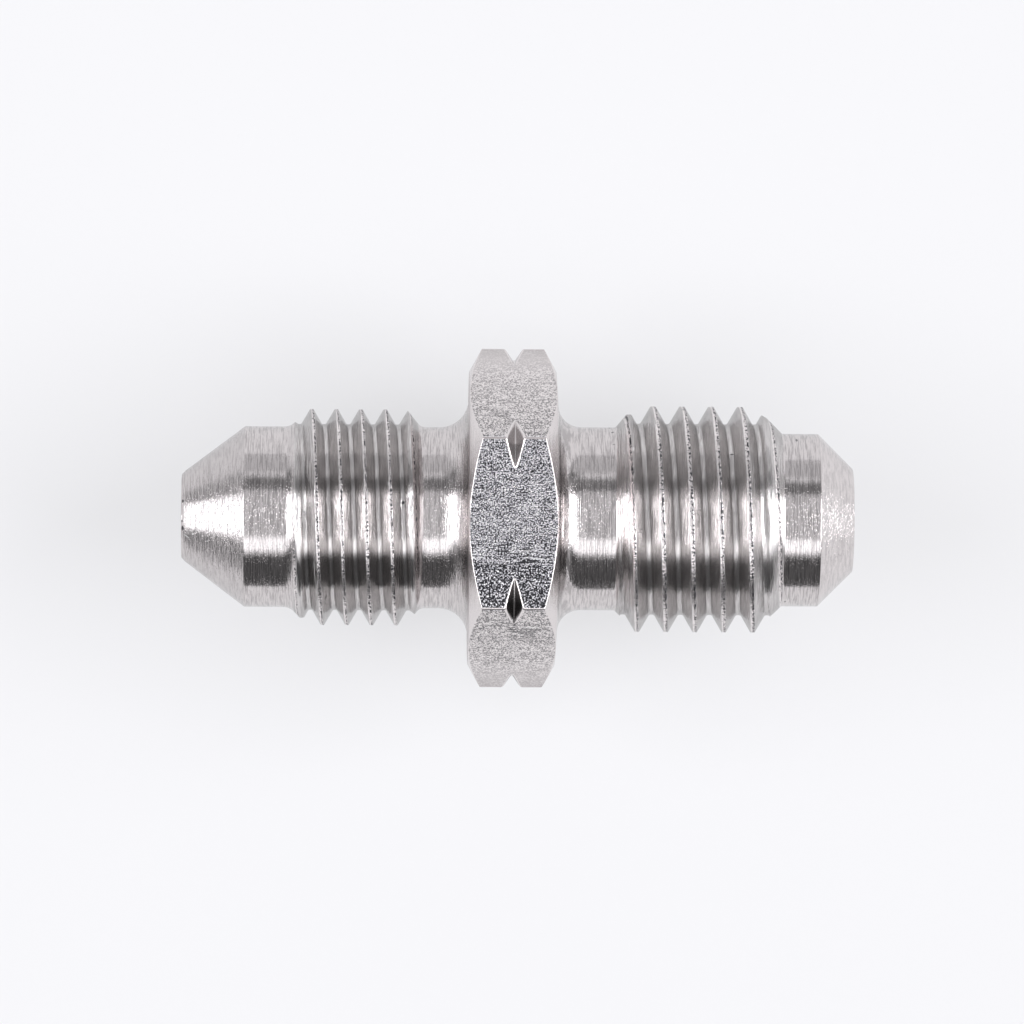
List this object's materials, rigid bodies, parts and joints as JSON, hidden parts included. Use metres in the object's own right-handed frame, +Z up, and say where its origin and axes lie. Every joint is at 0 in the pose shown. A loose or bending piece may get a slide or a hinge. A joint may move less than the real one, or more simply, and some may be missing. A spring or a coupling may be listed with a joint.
{
  "type": "line adapter fitting",
  "caption": "Turned steel line adapter with a male flare thread, a hexagon with a marking groove and a male metric thread.",
  "frame": {"origin": "on the surface that the adapter lies on, under the middle of its length", "axes": "+X along the axis towards the metric end, +Z up, so the lowest hexagon flat faces -Z"},
  "size_m": [0.029, 0.0146, 0.0127],
  "materials": {
    "stainless_steel": "bright turned stainless steel, with a grainy drawn finish on the hexagon's flats"
  },
  "bodies": {
    "root": {"adapter_body": "stainless_steel"}
  },
  "joints": []
}
